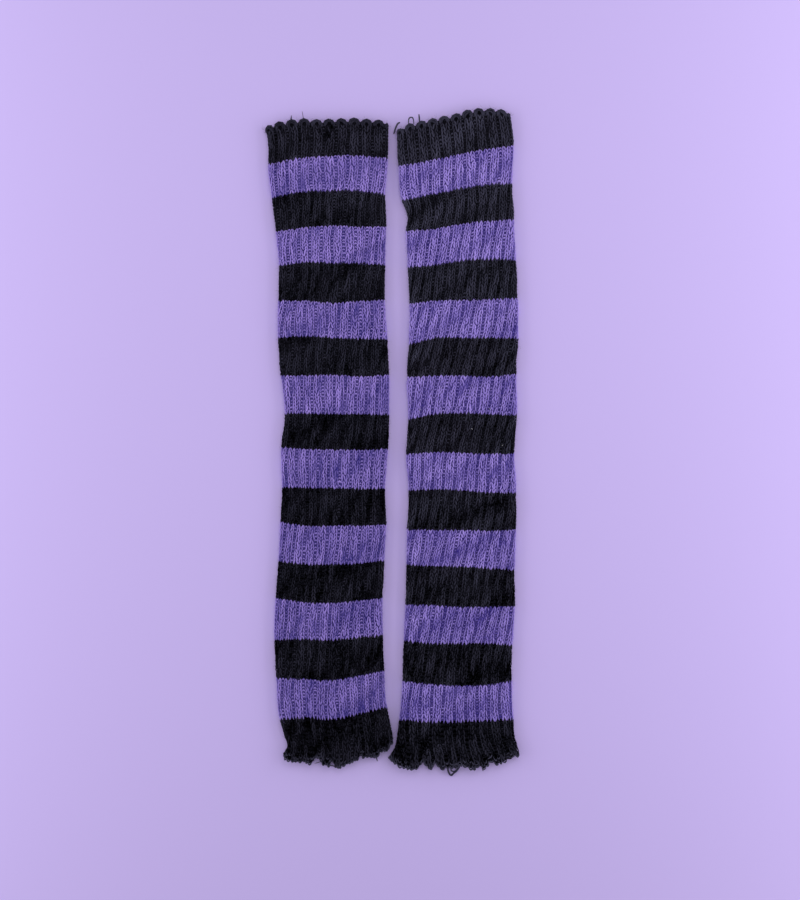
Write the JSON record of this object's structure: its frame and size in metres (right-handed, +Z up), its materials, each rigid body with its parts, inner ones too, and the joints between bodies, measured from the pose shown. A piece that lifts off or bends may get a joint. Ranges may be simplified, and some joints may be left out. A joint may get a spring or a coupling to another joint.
{
  "type": "pair of leg warmers",
  "caption": "Pair of long striped rib-knit leg warmers, open flat tubes lying side by side, with scalloped tops and ruffled hems.",
  "frame": {"origin": "on the surface that the pair lies on, under the middle of its outline", "axes": "+X to the right across both leg warmers, +Y along them towards their scalloped tops, +Z up"},
  "size_m": [0.2326, 0.6112, 0.0081],
  "materials": {
    "rib_knit_left": "matte striped rib knit, black and violet yarn",
    "rib_knit_right": "matte striped rib knit, black and violet yarn"
  },
  "bodies": {
    "root": {"leg_warmer_left": "rib_knit_left", "leg_warmer_right": "rib_knit_right"}
  },
  "joints": []
}
